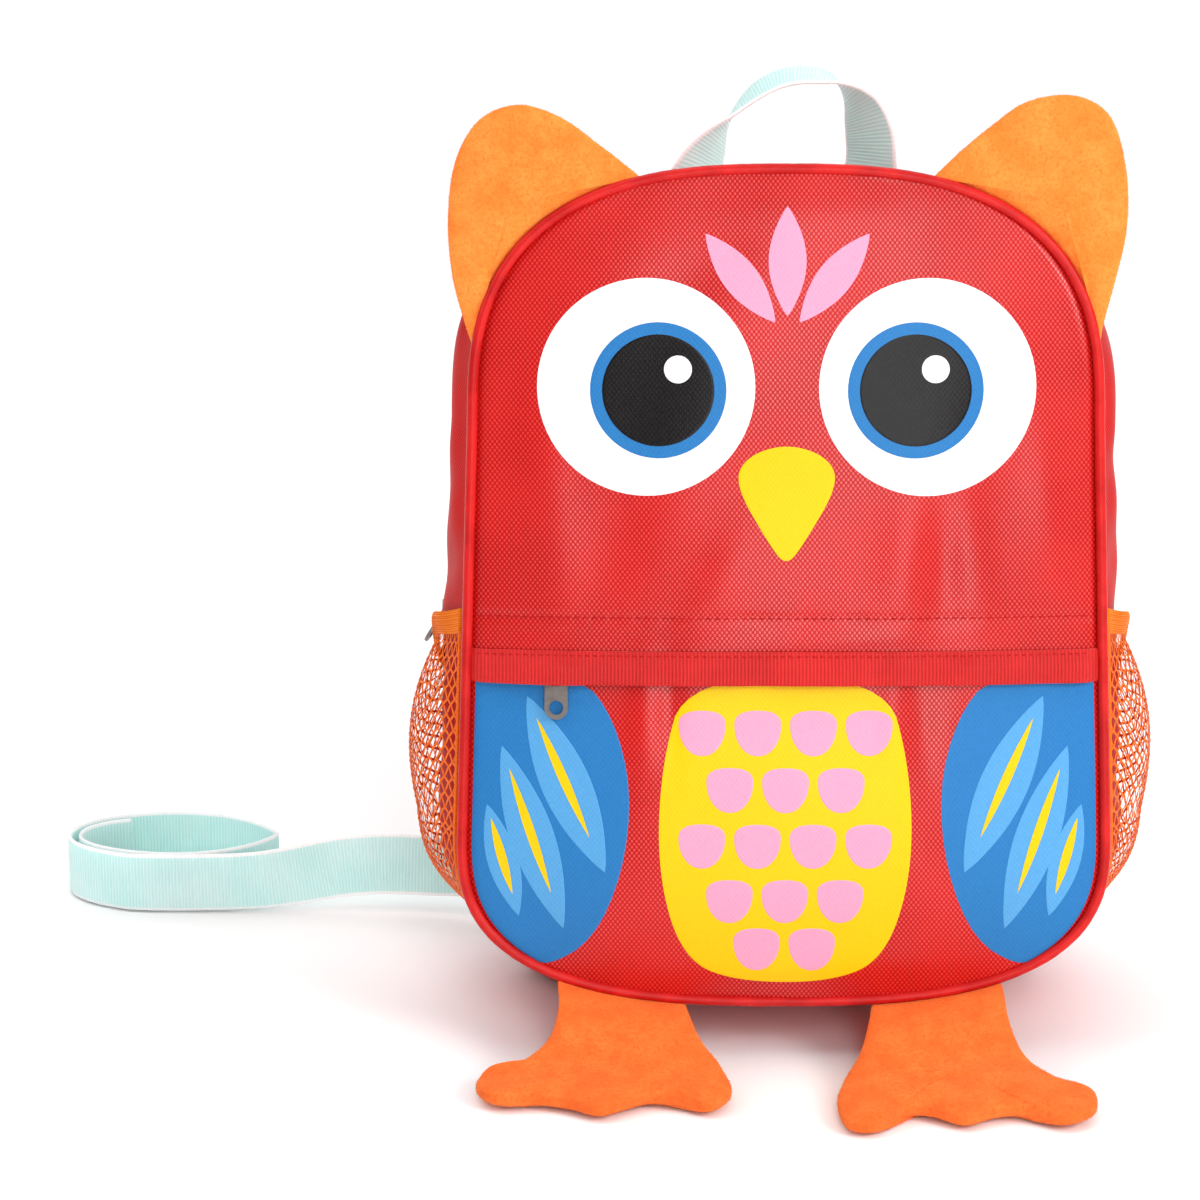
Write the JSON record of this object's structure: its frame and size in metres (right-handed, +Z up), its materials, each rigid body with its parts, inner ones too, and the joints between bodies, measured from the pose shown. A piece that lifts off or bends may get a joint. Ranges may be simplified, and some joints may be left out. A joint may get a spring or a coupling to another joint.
{
  "type": "toddler backpack",
  "caption": "Small owl-shaped backpack with zipped front pocket, net side pockets, plush ears and feet, grab handle, shoulder straps and a webbing walking rein.",
  "frame": {"origin": "middle of the flat base, on the floor", "axes": "+Z up, -Y out of the front, +X to the right as seen from the front"},
  "size_m": [0.3831, 0.2255, 0.317],
  "materials": {
    "red_polyester": "dobby weave, satin",
    "red_piping": "coated, semi-gloss",
    "red_grosgrain": "ribbed tape, matt",
    "red_zip_tape": "woven zip tape, matt",
    "orange_plush": "short pile plush",
    "orange_net": "open diamond net",
    "orange_elastic": "ribbed elastic",
    "mint_webbing": "ribbed webbing",
    "mint_plastic": "moulded",
    "zip_metal": "plated, satin"
  },
  "bodies": {
    "bag": {"front_panel": "red_polyester", "pocket_panel": "red_polyester", "zip_cover_tape": "red_grosgrain", "front_zip": "red_zip_tape", "piping": "red_piping", "gusset_front": "red_polyester", "main_zip": "red_zip_tape", "gusset_back": "red_polyester", "gusset_base": "red_polyester", "back_panel": "red_polyester", "front_zip_slider": "zip_metal", "main_zip_slider": "zip_metal", "left_pocket_net": "orange_net", "left_pocket_elastic": "orange_elastic", "left_ear": "orange_plush", "left_foot": "orange_plush", "left_shoulder_strap": "red_polyester", "left_strap_adjuster": "mint_plastic", "left_strap_webbing": "mint_webbing", "right_pocket_net": "orange_net", "right_pocket_elastic": "orange_elastic", "right_ear": "orange_plush", "right_foot": "orange_plush", "right_shoulder_strap": "red_polyester", "right_strap_adjuster": "mint_plastic", "right_strap_webbing": "mint_webbing", "grab_handle": "mint_webbing", "rein_strap": "mint_webbing"},
    "front_zip_pull": {"front_zip_pull": "zip_metal"},
    "main_zip_pull": {"main_zip_pull": "zip_metal"}
  },
  "joints": [
    {"name": "front_pull_swing", "type": "hinge", "parent": "bag", "child": "front_zip_pull", "pos_m": [-0.07622, -0.03128, 0.13106], "axis": [-0.9919, 0.1224, -0.0349], "range_deg": [0, 30]},
    {"name": "main_pull_swing", "type": "hinge", "parent": "bag", "child": "main_zip_pull", "pos_m": [-0.11431, 0.02856, 0.1337], "axis": [0.2695, 0.957, -0.1072], "range_deg": [0, 130]}
  ]
}
